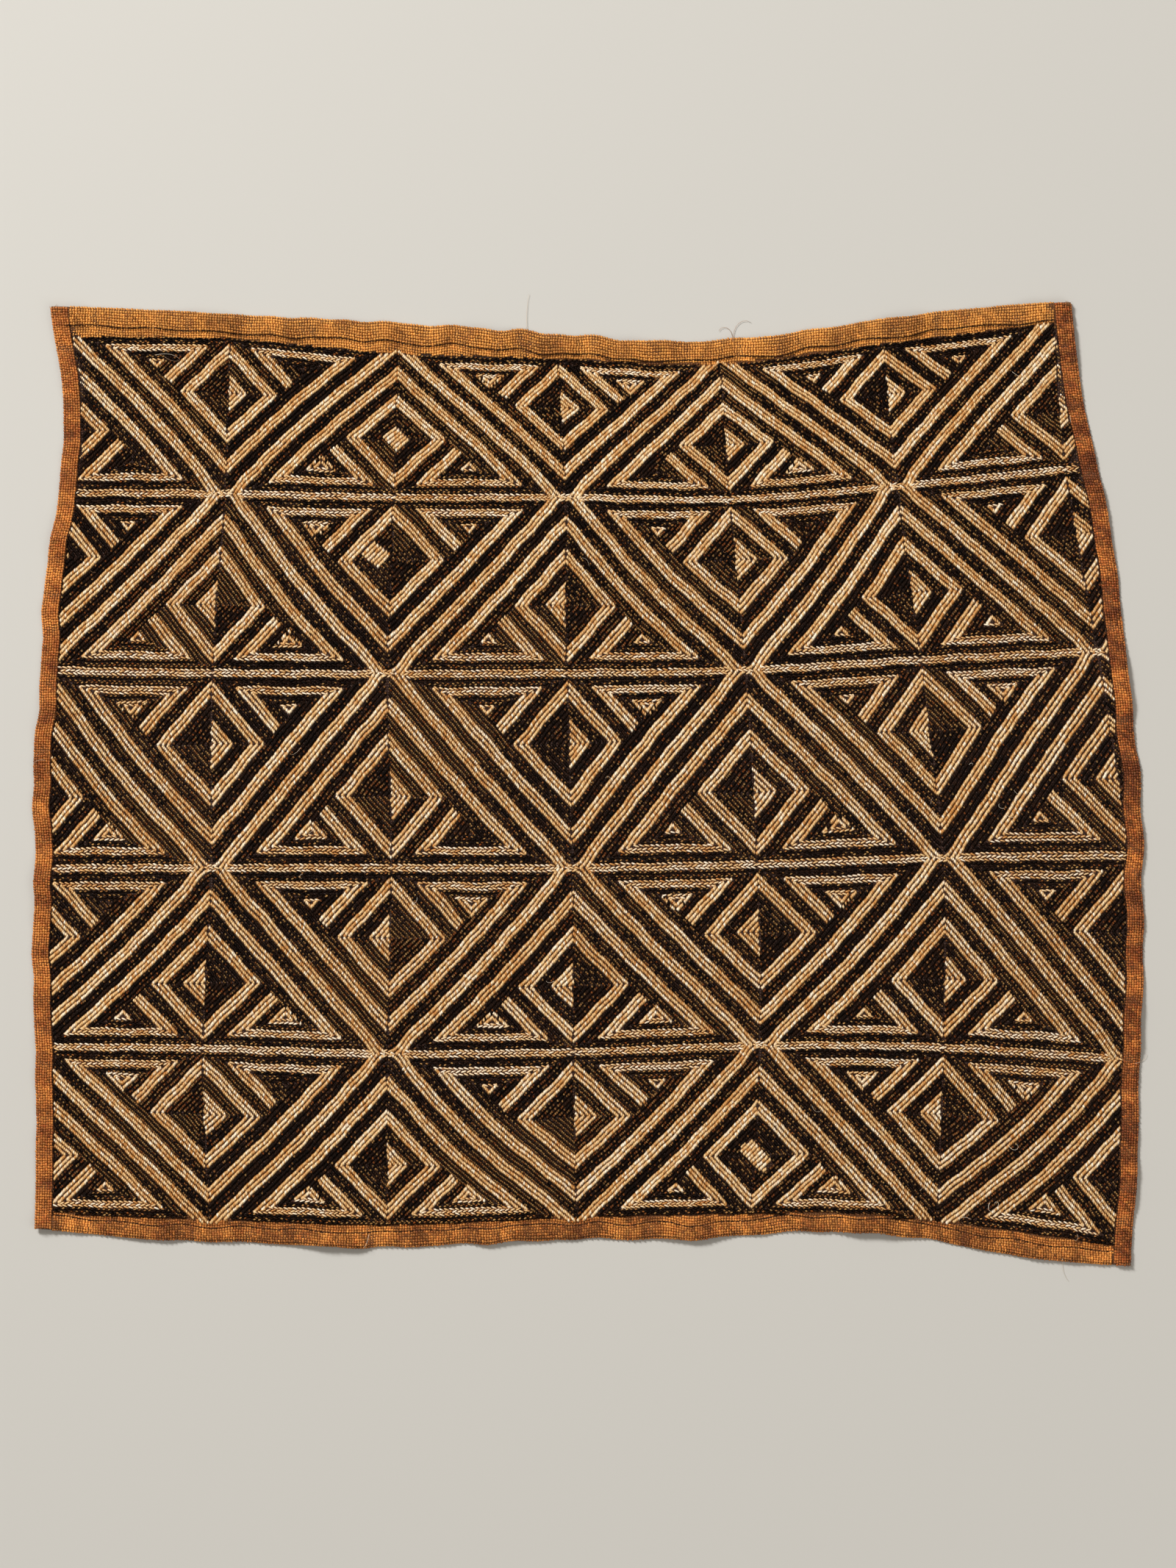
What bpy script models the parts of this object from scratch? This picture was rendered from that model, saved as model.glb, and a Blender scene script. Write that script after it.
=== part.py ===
"""A kuba raffia cloth, laid flat.

One piece of plain-woven raffia, covered with embroidery, its raw edges turned twice to the front and
sewn down as a hem. It is one closed solid: a thin sheet with the cloth's own uneven outline, the
embroidered field, the bare strip beside the end hems, the thicker hems, and the soft waves in which
its rim stands off the surface. X runs along the cloth's long way and Y up its short way.
"""
import math
import random

import bmesh
import bpy
import numpy as np

MM = 0.001

# Driving sizes, in millimetres
CORNERS = {
    "top_left": (-288.9, 256.1),
    "top_right": (259.6, 258.5),
    "bottom_left": (-297.6, -239.9),
    "bottom_right": (291.7, -260.0),
}
FIELD_THICK = 2.0
STRIP_THICK = 1.2
HEM_THICK = 2.6
CORNER_THICK = 3.2
SIDE_HEM_WIDE = 8.8
END_HEM_WIDE = 9.2
STRIP_WIDE = 3.6
STEP_WIDE = 1.0
EDGE_ROUND = 0.9
NOSE_HIGH = 1.2

# How far each edge bows from the straight line between its corners, in millimetres.
# The end edges are read from left to right and bow along Y, the side edges from bottom to top along X.
EDGE_COLUMNS = ("way_along", "top", "bottom", "left", "right")
EDGE_ROWS = (
    (0.0, 0.0, 0.0, 0.0, 0.0),
    (0.1, -2.2, -3.4, -0.2, 6.8),
    (0.2, -5.6, -3.6, -1.5, 10.8),
    (0.3, -8.5, -4.0, -4.0, 16.4),
    (0.4, -12.0, 0.1, -3.2, 19.3),
    (0.5, -16.1, 4.5, -5.2, 21.1),
    (0.6, -20.4, 6.6, -2.2, 18.8),
    (0.7, -17.8, 12.9, -0.6, 16.2),
    (0.8, -10.1, 11.8, 5.8, 11.3),
    (0.9, -3.5, 3.2, 7.6, 3.1),
    (1.0, 0.0, 0.0, 0.0, 0.0),
)

# Soft waves of the rim, one row for each edge: how high the rim stands, how many waves, where they start
WAVE_COLUMNS = ("edge", "high", "waves", "start")
WAVE_ROWS = (
    ("top", 2.2, 7.3, 0.15),
    ("bottom", 2.6, 6.1, 0.60),
    ("left", 1.6, 5.2, 0.35),
    ("right", 2.0, 5.7, 0.80),
)
WAVE_REACH = 42.0

# Scallops: the small in and out of the folded edge. Puckers: the sewn hem's small rises and dips.
SCALLOP_DEEP = 0.5
SCALLOP_LONG = 37.0
PUCKER_HIGH = 0.3
PUCKER_LONG = 29.0

LONG_CELLS = 60
SHORT_CELLS = 52
CLOTH_SEED = 7


def smooth_step(value):
    """0 below 0, 1 above 1, and a soft S between."""
    value = min(max(value, 0.0), 1.0)
    return value * value * (3.0 - 2.0 * value)


def edge_table():
    """The edge rows as one list for each named column."""
    columns = zip(*EDGE_ROWS)
    return dict(zip(EDGE_COLUMNS, (list(column) for column in columns)))


def soft_curve(stations, values, way):
    """A smooth curve through the table's evenly spaced stations, read at one place along the edge."""
    last = len(stations) - 1
    spacing = stations[1] - stations[0]
    index = min(int(way / spacing), last - 1)
    part = (way - stations[index]) / spacing
    before = values[max(index - 1, 0)]
    start = values[index]
    end = values[index + 1]
    after = values[min(index + 2, last)]
    slope_in = 0.5 * (end - before)
    slope_out = 0.5 * (after - start)
    square = part * part
    cube = square * part
    return ((2 * cube - 3 * square + 1) * start + (cube - 2 * square + part) * slope_in
            + (3 * square - 2 * cube) * end + (cube - square) * slope_out)


def edge_point(edge, way, bows, phases):
    """One point of the outline, in millimetres: the straight line, its bow and its scallops."""
    ends = {"top": ("top_left", "top_right"), "bottom": ("bottom_left", "bottom_right"),
            "left": ("bottom_left", "top_left"), "right": ("bottom_right", "top_right")}
    start = CORNERS[ends[edge][0]]
    end = CORNERS[ends[edge][1]]
    point = [start[axis] + (end[axis] - start[axis]) * way for axis in (0, 1)]
    across = 1 if edge in ("top", "bottom") else 0
    long_way = math.dist(start, end)
    fade = math.sin(math.pi * way)
    scallop = SCALLOP_DEEP * fade * math.sin(2 * math.pi * way * long_way / SCALLOP_LONG + phases[edge])
    point[across] += soft_curve(bows["way_along"], bows[edge], way) + scallop
    return point


def cloth_point(across, up, bows, phases):
    """A point of the sheet between its four edges, for shares 0 to 1 across and up."""
    top = edge_point("top", across, bows, phases)
    bottom = edge_point("bottom", across, bows, phases)
    left = edge_point("left", up, bows, phases)
    right = edge_point("right", up, bows, phases)
    point = []
    for axis in (0, 1):
        between_ends = bottom[axis] * (1 - up) + top[axis] * up
        between_sides = left[axis] * (1 - across) + right[axis] * across
        low = CORNERS["bottom_left"][axis] * (1 - across) + CORNERS["bottom_right"][axis] * across
        high = CORNERS["top_left"][axis] * (1 - across) + CORNERS["top_right"][axis] * across
        point.append(between_ends + between_sides - (low * (1 - up) + high * up))
    return point


def pucker(along):
    """The rise or dip of the sewn hem at this distance along it, in millimetres."""
    turn = 2 * math.pi * along / PUCKER_LONG
    return PUCKER_HIGH * math.sin(turn + math.sin(0.37 * turn))


def section_thick(from_side, from_end, across_mm, up_mm):
    """How thick the sheet is at this place, in millimetres. The side hems lie over the end hems."""
    if from_side <= SIDE_HEM_WIDE:
        over_end_hem = smooth_step((END_HEM_WIDE + STEP_WIDE - from_end) / STEP_WIDE)
        return HEM_THICK + (CORNER_THICK - HEM_THICK) * over_end_hem + pucker(up_mm)
    if from_end <= END_HEM_WIDE:
        return HEM_THICK + pucker(across_mm)
    if from_end <= END_HEM_WIDE + STRIP_WIDE:
        return STRIP_THICK
    return FIELD_THICK


def rim_lift(across, up, long_side, short_side):
    """How far the rim stands off the surface: soft waves that fade towards the flat middle."""
    places = {"top": (across, (1 - up) * short_side), "bottom": (across, up * short_side),
              "left": (up, across * long_side), "right": (up, (1 - across) * long_side)}
    lift = 0.0
    for row in WAVE_ROWS:
        wave = dict(zip(WAVE_COLUMNS, row))
        way, distance = places[wave["edge"]]
        swing = math.sin(2 * math.pi * (way * wave["waves"] + wave["start"]))
        swing *= 0.7 + 0.3 * math.sin(2 * math.pi * (way * 2.3 + wave["start"]))
        fade = 1.0 - smooth_step(distance / WAVE_REACH)
        lift = max(lift, wave["high"] * smooth_step(swing) * fade)
    return lift


def grid_lines(long_side, hem_wide, strip_wide, cells):
    """The grid's lines along one side as shares of it: close together at the hem's steps."""
    steps = [0.0, EDGE_ROUND, hem_wide, hem_wide + STEP_WIDE]
    if strip_wide > 0:
        steps += [hem_wide + strip_wide, hem_wide + strip_wide + STEP_WIDE]
    inner = np.linspace(steps[-1], long_side - steps[-1], cells + 1)[1:-1]
    lines = steps + list(inner) + [long_side - step for step in reversed(steps)]
    return [line / long_side for line in lines]


def cloth_mesh():
    """The closed sheet: a top face, an underside, and one shared line of points round the rim."""
    draw = random.Random(CLOTH_SEED)
    phases = {edge: draw.uniform(0, 2 * math.pi) for edge in ("top", "bottom", "left", "right")}
    bows = edge_table()
    long_side = CORNERS["bottom_right"][0] - CORNERS["bottom_left"][0]
    short_side = CORNERS["top_left"][1] - CORNERS["bottom_left"][1]
    columns = grid_lines(long_side, SIDE_HEM_WIDE, 0.0, LONG_CELLS)
    rows = grid_lines(short_side, END_HEM_WIDE, STRIP_WIDE, SHORT_CELLS)
    last_column = len(columns) - 1
    last_row = len(rows) - 1

    mesh = bmesh.new()
    top_points = {}
    under_points = {}
    for row, up in enumerate(rows):
        for column, across in enumerate(columns):
            x, y = cloth_point(across, up, bows, phases)
            lift = rim_lift(across, up, long_side, short_side)
            if row in (0, last_row) or column in (0, last_column):
                nose = mesh.verts.new((x * MM, y * MM, (lift + NOSE_HIGH) * MM))
                top_points[row, column] = nose
                under_points[row, column] = nose
                continue
            from_side = min(across, 1 - across) * long_side
            from_end = min(up, 1 - up) * short_side
            thick = section_thick(from_side, from_end, across * long_side, up * short_side)
            top_points[row, column] = mesh.verts.new((x * MM, y * MM, (lift + thick) * MM))
            under_points[row, column] = mesh.verts.new((x * MM, y * MM, lift * MM))

    for row in range(last_row):
        for column in range(last_column):
            corners = ((row, column), (row, column + 1), (row + 1, column + 1), (row + 1, column))
            mesh.faces.new([top_points[corner] for corner in corners])
            mesh.faces.new([under_points[corner] for corner in reversed(corners)])
    bmesh.ops.triangulate(mesh, faces=mesh.faces[:], quad_method="SHORT_EDGE")
    centre_on_origin(mesh)
    sheet = bpy.data.meshes.new("kuba_cloth")
    mesh.to_mesh(sheet)
    mesh.free()
    return sheet


def centre_on_origin(mesh):
    """Put the middle of the cloth's box over the origin, its underside on the surface."""
    places = np.array([vert.co[:] for vert in mesh.verts])
    middle = (places.min(axis=0) + places.max(axis=0)) / 2
    for vert in mesh.verts:
        vert.co.x -= middle[0]
        vert.co.y -= middle[1]
        vert.co.z -= places[:, 2].min()


def raffia_material():
    """Dyed raffia: a dry plant fibre, golden brown and matt."""
    material = bpy.data.materials.new("dyed_raffia")
    material.use_nodes = True
    shader = material.node_tree.nodes["Principled BSDF"]
    shader.inputs["Base Color"].default_value = (0.37, 0.22, 0.09, 1.0)
    shader.inputs["Roughness"].default_value = 0.7
    shader.inputs["Metallic"].default_value = 0.0
    return material


def build_cloth():
    cloth = bpy.data.objects.new("kuba_cloth", cloth_mesh())
    bpy.context.collection.objects.link(cloth)
    cloth.data.materials.append(raffia_material())
    return cloth


for old_object in list(bpy.data.objects):
    bpy.data.objects.remove(old_object)
build_cloth()
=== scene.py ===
# %% [markdown]
# # A kuba raffia cloth, laid flat
#
# The real thing is one panel of plain-woven raffia, dyed golden brown, whose whole face is covered with
# counted stitches in black and straw raffia. Its raw edges are turned twice to the front and sewn down.
# This lesson builds it the same way: first the sheet with its turned hem, then the weave that shows on
# the hem, then every stitch of the embroidery, and last the sewing thread and the stray fibres.
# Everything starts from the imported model, which gives the place and the size.

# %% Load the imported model
import math
import random
import bpy
import numpy as np
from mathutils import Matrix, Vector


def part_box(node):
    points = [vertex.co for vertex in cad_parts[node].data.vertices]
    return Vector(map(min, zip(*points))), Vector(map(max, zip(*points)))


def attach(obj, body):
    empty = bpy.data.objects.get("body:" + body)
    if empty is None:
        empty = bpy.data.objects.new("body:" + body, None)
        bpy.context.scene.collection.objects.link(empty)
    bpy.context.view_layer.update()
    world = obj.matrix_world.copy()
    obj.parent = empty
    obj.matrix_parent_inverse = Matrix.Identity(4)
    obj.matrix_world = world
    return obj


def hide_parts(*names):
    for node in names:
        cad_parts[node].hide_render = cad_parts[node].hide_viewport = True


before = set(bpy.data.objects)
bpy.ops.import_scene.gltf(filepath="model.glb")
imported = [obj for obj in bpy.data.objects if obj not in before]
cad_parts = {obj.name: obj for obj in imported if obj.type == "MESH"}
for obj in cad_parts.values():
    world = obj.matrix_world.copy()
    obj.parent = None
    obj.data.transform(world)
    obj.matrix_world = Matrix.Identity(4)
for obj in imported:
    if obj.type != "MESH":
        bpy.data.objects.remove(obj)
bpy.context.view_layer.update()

cloth_low, cloth_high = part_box("kuba_cloth")
print("the cloth is", [round((high - low) * 1000, 1) for low, high in zip(cloth_low, cloth_high)], "mm")

# %% [markdown]
# ## The camera
#
# The photo looks straight down on the cloth. Its width of about 600 mm fills 1516 of the photo's 1600
# pixels, so one pixel is 0.396 mm, and that gives the width and height of the view. A long lens from
# well above keeps the edges free of perspective, as in the photo.

# %% Camera
MM = 0.001
PHOTO_WIDE, PHOTO_HIGH = 1600, 2133
PIXEL_MM = 0.3958
CAMERA_HIGH = 2.6
SENSOR_HIGH = 24.0


def add_camera():
    bpy.ops.object.camera_add(location=(0.0, 0.0, CAMERA_HIGH), rotation=(0.0, 0.0, 0.0))
    camera = bpy.context.object
    view_high = PHOTO_HIGH * PIXEL_MM * MM
    camera.data.sensor_fit = "VERTICAL"
    camera.data.sensor_height = SENSOR_HIGH
    camera.data.lens = SENSOR_HIGH * CAMERA_HIGH / view_high
    bpy.context.scene.camera = camera
    print("the view is", round(view_high, 3), "m high through a", round(camera.data.lens), "mm lens")


add_camera()

# %% [markdown]
# ## The outline
#
# No edge of the cloth is straight: the top sags in the middle and the right side bulges. Four corners
# and a short table of bows describe it in millimetres, and a smooth curve runs through the stations.
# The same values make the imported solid. Only the last wiggles, half a millimetre deep, are added here.

# %% Outline of the cloth
CORNERS = {
    "top_left": (-288.9, 256.1),
    "top_right": (259.6, 258.5),
    "bottom_left": (-297.6, -239.9),
    "bottom_right": (291.7, -260.0),
}
EDGE_COLUMNS = ("way_along", "top", "bottom", "left", "right")
EDGE_ROWS = (
    (0.0, 0.0, 0.0, 0.0, 0.0),
    (0.1, -2.2, -3.4, -0.2, 6.8),
    (0.2, -5.6, -3.6, -1.5, 10.8),
    (0.3, -8.5, -4.0, -4.0, 16.4),
    (0.4, -12.0, 0.1, -3.2, 19.3),
    (0.5, -16.1, 4.5, -5.2, 21.1),
    (0.6, -20.4, 6.6, -2.2, 18.8),
    (0.7, -17.8, 12.9, -0.6, 16.2),
    (0.8, -10.1, 11.8, 5.8, 11.3),
    (0.9, -3.5, 3.2, 7.6, 3.1),
    (1.0, 0.0, 0.0, 0.0, 0.0),
)
EDGE_ENDS = {"top": ("top_left", "top_right"), "bottom": ("bottom_left", "bottom_right"),
             "left": ("bottom_left", "top_left"), "right": ("bottom_right", "top_right")}
SCALLOP_DEEP = 0.5
SCALLOP_LONG = 37.0
WIGGLE_DEEP = 0.55
WIGGLE_LONG = 24.0
CLOTH_SEED = 7

edge_bows = dict(zip(EDGE_COLUMNS, np.array(EDGE_ROWS).T))
draw = random.Random(CLOTH_SEED)
edge_phases = {edge: draw.uniform(0, 2 * math.pi) for edge in ("top", "bottom", "left", "right")}


def soft_curve(values, place):
    """A smooth curve through evenly spaced values, read at places counted in stations."""
    last = len(values) - 1
    index = np.clip(np.floor(place).astype(int), 0, last - 1)
    part = place - index
    before = values[np.maximum(index - 1, 0)]
    start = values[index]
    end = values[index + 1]
    after = values[np.minimum(index + 2, last)]
    slope_in = 0.5 * (end - before)
    slope_out = 0.5 * (after - start)
    square = part * part
    cube = square * part
    return ((2 * cube - 3 * square + 1) * start + (cube - 2 * square + part) * slope_in
            + (3 * square - 2 * cube) * end + (cube - square) * slope_out)


def soft_noise(x, y, long, seed):
    """A smooth unevenness between about -1 and 1 whose swells are long millimetres apart."""
    chance = random.Random(seed)
    total = np.zeros_like(x, dtype=float)
    for _ in range(5):
        turn = chance.uniform(0, 2 * math.pi)
        pace = 2 * math.pi / (long * chance.uniform(0.7, 1.5))
        phase = chance.uniform(0, 2 * math.pi)
        total += np.sin(pace * (x * math.cos(turn) + y * math.sin(turn)) + phase)
    return total / 3.0


def edge_offset(edge, way):
    """How far the edge bows, scallops and wiggles from its straight line, in millimetres."""
    start, end = (CORNERS[name] for name in EDGE_ENDS[edge])
    along = way * math.dist(start, end)
    small = SCALLOP_DEEP * np.sin(2 * np.pi * along / SCALLOP_LONG + edge_phases[edge])
    small = small + WIGGLE_DEEP * soft_noise(along, 0 * along, WIGGLE_LONG, 20 + len(edge))
    return soft_curve(edge_bows[edge], way * (len(EDGE_ROWS) - 1)) + small * np.sin(np.pi * way)


def edge_at(edge, along):
    """The edge's Y at these X for the top and bottom, or its X at these Y for the left and right."""
    start, end = (CORNERS[name] for name in EDGE_ENDS[edge])
    run, rise = (0, 1) if edge in ("top", "bottom") else (1, 0)
    way = np.clip((along - start[run]) / (end[run] - start[run]), 0.0, 1.0)
    return start[rise] + (end[rise] - start[rise]) * way + edge_offset(edge, way)


def from_edges(x, y):
    """Distance from each edge in millimetres, as a dictionary."""
    return {"left": x - edge_at("left", y), "right": edge_at("right", y) - x,
            "bottom": y - edge_at("bottom", x), "top": edge_at("top", x) - y}


print("the top edge sags", round(float(-edge_bows["top"].min()), 1), "mm")

# %% [markdown]
# ## How it lies
#
# The middle of the cloth lies flat. The sewn hem draws the rim in a little, so the rim stands off the
# surface in soft waves, and the hem itself puckers between its stitches. These heights are functions of
# the place on the cloth, so that the sheet, the weave and the stitches can all follow them.

# %% Waves, puckers and the section through the hem
WAVE_COLUMNS = ("edge", "high", "waves", "start")
WAVE_ROWS = (
    ("top", 2.2, 7.3, 0.15),
    ("bottom", 2.6, 6.1, 0.60),
    ("left", 1.6, 5.2, 0.35),
    ("right", 2.0, 5.7, 0.80),
)
WAVE_REACH = 42.0
SIDE_HEM_WIDE = 8.8
END_HEM_WIDE = {"top": 9.8, "bottom": 7.6}
HEM_WANDER = 0.8
FIELD_FROM_EDGE = 13.0
HEM_HIGH = 2.0
CORNER_HIGH = 0.5
STRIP_HIGH = 0.7
FIELD_HIGH = 0.95
PUCKER_HIGH = 0.3
PUCKER_LONG = 29.0
COCKLE_HIGH = 0.42
COCKLE_LONG = 19.0


def smooth_step(value):
    value = np.clip(value, 0.0, 1.0)
    return value * value * (3.0 - 2.0 * value)


def rim_lift(x, y):
    """How far the cloth stands off the surface, in millimetres."""
    gaps = from_edges(x, y)
    across = gaps["left"] / (gaps["left"] + gaps["right"])
    up = gaps["bottom"] / (gaps["bottom"] + gaps["top"])
    ways = {"top": across, "bottom": across, "left": up, "right": up}
    lift = np.zeros_like(x, dtype=float)
    for row in WAVE_ROWS:
        wave = dict(zip(WAVE_COLUMNS, row))
        way = ways[wave["edge"]]
        swing = np.sin(2 * np.pi * (way * wave["waves"] + wave["start"]))
        swing = swing * (0.7 + 0.3 * np.sin(2 * np.pi * (way * 2.3 + wave["start"])))
        fade = 1.0 - smooth_step(gaps[wave["edge"]] / WAVE_REACH)
        lift = np.maximum(lift, wave["high"] * smooth_step(swing) * fade)
    return lift


def pucker(along):
    """The rise or dip of the sewn hem, with the finer cockles that the sewing thread pulls in."""
    turn = 2 * np.pi * along / PUCKER_LONG
    cockles = COCKLE_HIGH * soft_noise(along, 0 * along, COCKLE_LONG, 21)
    return PUCKER_HIGH * np.sin(turn + np.sin(0.37 * turn)) + cockles


def hem_wide(edge, along):
    """How wide a hem is here. The folded edge of the end hems was laid down by eye, so it wanders."""
    if edge in ("left", "right"):
        return SIDE_HEM_WIDE + 0 * along
    return END_HEM_WIDE[edge] + HEM_WANDER * soft_noise(along, 0 * along, 38.0, 22)


def hem_round(share):
    """The soft roll of a folded hem, for shares 0 at the fold to 1 at the sewn side."""
    return np.interp(share, (0.0, 0.04, 0.12, 0.35, 0.6, 0.85, 1.0), (0.3, 0.58, 0.8, 1.0, 0.98, 0.86, 0.74))


def sheet_high(x, y):
    """The top of the bare sheet above its underside, in millimetres."""
    gaps = from_edges(x, y)
    side = np.minimum(gaps["left"], gaps["right"])
    end = np.minimum(gaps["top"], gaps["bottom"])
    end_wide = np.where(gaps["top"] < gaps["bottom"], hem_wide("top", x), hem_wide("bottom", x))
    plain = np.where(end < FIELD_FROM_EDGE, STRIP_HIGH, FIELD_HIGH)
    on_end = smooth_step((end_wide + 0.5 - end) / 0.6)
    on_side = smooth_step((SIDE_HEM_WIDE + 0.5 - side) / 0.6)
    end_hem = (HEM_HIGH + pucker(x)) * hem_round(end / end_wide)
    side_hem = (HEM_HIGH + pucker(y)) * hem_round(side / SIDE_HEM_WIDE) + CORNER_HIGH * on_end
    high = plain + (end_hem - plain) * on_end
    high = high + (side_hem - high) * on_side
    return high * np.interp(end, (0.0, 0.3, 0.9, 2.0), (0.6, 0.8, 0.95, 1.0))


# %% [markdown]
# ## The sheet
#
# A grid is the natural start for a flat cloth. Its lines are crowded together along the rim, where the
# hem's fold and step need them, and spread out in the middle. Each point is then moved to its place
# between the four uneven edges. A flipped copy becomes the underside, and bridging the two rims closes
# the sheet into one thin body, as a real cloth is.

# %% Sheet of ground cloth
RIM_LINES_SIDE = (0.0, 0.35, 1.0, 2.2, 3.6, 5.4, 7.4, 8.7, 9.4)
RIM_LINES_END = (0.0, 0.35, 1.0, 2.2, 3.6, 5.0, 6.4, 7.2, 8.0, 8.8, 9.6, 10.4, 11.2, 12.9, 13.6)
MIDDLE_STEP = 6.0


def crowded_lines(long_side, rim_lines):
    """Shares of one side: the rim's lines at both ends and even steps between them."""
    inner = long_side - 2 * rim_lines[-1]
    middle = np.linspace(rim_lines[-1], rim_lines[-1] + inner, round(inner / MIDDLE_STEP) + 1)[1:-1]
    far = [long_side - line for line in reversed(rim_lines)]
    return np.array([*rim_lines, *middle, *far]) / long_side


def cloth_points(across, up):
    """Points between the four edges, for shares 0 to 1 across and up, in millimetres."""
    corners = {name: np.array(place)[:, None] for name, place in CORNERS.items()}
    sides = {}
    for edge, way in (("top", across), ("bottom", across), ("left", up), ("right", up)):
        start, end = (corners[name] for name in EDGE_ENDS[edge])
        sides[edge] = start + (end - start) * way
        sides[edge][1 if edge in ("top", "bottom") else 0] += edge_offset(edge, way)
    low = corners["bottom_left"] * (1 - across) + corners["bottom_right"] * across
    high = corners["top_left"] * (1 - across) + corners["top_right"] * across
    return (sides["bottom"] * (1 - up) + sides["top"] * up + sides["left"] * (1 - across)
            + sides["right"] * across - (low * (1 - up) + high * up))


def deselect_all():
    if bpy.context.mode != "OBJECT":
        bpy.ops.object.mode_set(mode="OBJECT")
    bpy.ops.object.select_all(action="DESELECT")


def make_ground_cloth():
    long_side = CORNERS["bottom_right"][0] - CORNERS["bottom_left"][0]
    short_side = CORNERS["top_left"][1] - CORNERS["bottom_left"][1]
    columns = crowded_lines(long_side, RIM_LINES_SIDE)
    rows = crowded_lines(short_side, RIM_LINES_END)
    deselect_all()
    bpy.ops.mesh.primitive_grid_add(x_subdivisions=len(columns) - 1, y_subdivisions=len(rows) - 1, size=2)
    cloth = bpy.context.object
    cloth.name = cloth.data.name = "ground_cloth"
    flat = np.empty(len(cloth.data.vertices) * 3)
    cloth.data.vertices.foreach_get("co", flat)
    flat = flat.reshape(-1, 3)
    column = np.rint((flat[:, 0] + 1) / 2 * (len(columns) - 1)).astype(int)
    row = np.rint((flat[:, 1] + 1) / 2 * (len(rows) - 1)).astype(int)
    x, y = cloth_points(columns[column], rows[row])
    lift = rim_lift(x, y)
    shift = -0.5 * np.array([x.min() + x.max(), y.min() + y.max()])
    top = np.column_stack([x + shift[0], y + shift[1], lift + sheet_high(x, y)])
    under = np.column_stack([x + shift[0], y + shift[1], lift])
    rim = (column == 0) | (column == len(columns) - 1) | (row == 0) | (row == len(rows) - 1)
    under[rim, 2] += 0.35

    bpy.ops.object.mode_set(mode="EDIT")
    bpy.ops.mesh.select_all(action="SELECT")
    bpy.ops.mesh.duplicate()
    bpy.ops.mesh.flip_normals()
    bpy.ops.object.mode_set(mode="OBJECT")
    cloth.data.vertices.foreach_set("co", (np.vstack([top, under]) * MM).ravel())
    bpy.ops.object.mode_set(mode="EDIT")
    bpy.ops.mesh.select_all(action="DESELECT")
    bpy.ops.mesh.select_mode(type="EDGE")
    bpy.ops.mesh.select_non_manifold()
    bpy.ops.mesh.bridge_edge_loops()
    bpy.ops.mesh.select_all(action="SELECT")
    bpy.ops.mesh.normals_make_consistent(inside=False)
    bpy.ops.object.mode_set(mode="OBJECT")
    bpy.ops.object.shade_smooth()
    return cloth, shift


ground_cloth, cloth_shift = make_ground_cloth()
print("ground cloth:", len(ground_cloth.data.polygons), "faces, moved by", cloth_shift.round(2), "mm")

# %% [markdown]
# ## One stitch and one bead
#
# Every thread that shows is a short length of split raffia leaf, thick in the middle and pinched where
# it dives into the cloth. Two such grains are modelled, as simple as they can be, because there
# will be tens of thousands of them. The stitch starts as a three-sided cone whose base is a fan: the
# middle of the fan is pulled out to a second point. The bead starts as a three-sided cylinder with a fan
# at both ends and is stretched, so that it keeps a short body between its points. Each has its flat side
# down, and its length becomes one unit along X.

# %% Model one stitch and one bead
BEAD_BODY = 0.56


def start_grain(add_shape, chosen, **settings):
    """Add a shape and select those of its points for which chosen is true."""
    deselect_all()
    add_shape(vertices=3, end_fill_type="TRIFAN", **settings)
    grain = bpy.context.object
    bpy.ops.object.mode_set(mode="EDIT")
    bpy.ops.mesh.select_all(action="DESELECT")
    bpy.ops.object.mode_set(mode="OBJECT")
    for vertex in grain.data.vertices:
        vertex.select = chosen(vertex.co)
    bpy.ops.object.mode_set(mode="EDIT")
    return grain


def finish_grain(grain):
    """The grain's points, laid along X and made one unit long, wide and high, its faces, and its two tips."""
    bpy.ops.mesh.select_all(action="SELECT")
    bpy.ops.mesh.quads_convert_to_tris()
    bpy.ops.object.mode_set(mode="OBJECT")
    points = np.array([(vertex.co.z, vertex.co.x, vertex.co.y) for vertex in grain.data.vertices])
    faces = np.array([polygon.vertices[:] for polygon in grain.data.polygons])
    bpy.data.objects.remove(grain)
    points = (points - points.min(axis=0)) / np.ptp(points, axis=0) - (0.5, 0.5, 0.0)
    return {"points": points, "faces": faces, "start": int(points[:, 0].argmin()),
            "end": int(points[:, 0].argmax())}


def model_stitch():
    grain = start_grain(bpy.ops.mesh.primitive_cone_add, lambda place: place.xy.length < 0.01 and place.z < 0,
                        radius1=0.5, radius2=0.0, depth=0.5)
    bpy.ops.transform.translate(value=(0.0, 0.0, -0.5))
    return finish_grain(grain)


def model_bead():
    grain = start_grain(bpy.ops.mesh.primitive_cylinder_add, lambda place: place.xy.length < 0.01,
                        radius=0.5, depth=BEAD_BODY)
    bpy.ops.transform.resize(value=(1.0, 1.0, 1.0 / BEAD_BODY))
    return finish_grain(grain)


stitch_model = model_stitch()
bead_model = model_bead()
for name, model in (("stitch", stitch_model), ("bead", bead_model)):
    print("one", name, "has", len(model["points"]), "points and", len(model["faces"]), "faces")

# %% [markdown]
# ## Many grains as one mesh
#
# Thousands of copies as separate objects would be slow, so each group of grains becomes one joined mesh
# made from arrays: the grain's points are stretched, turned and set down on the cloth for all copies at
# once. Each point also carries two attributes for the material. "thread" tells how far along and across
# the grain it is, and "tone" its shade, its dot and the shade of the dot. A flat map seen from above, folded so that it
# fills a square, is there for baking.

# %% Join grains into a mesh
MAP_MARGIN = 3.0


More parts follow.
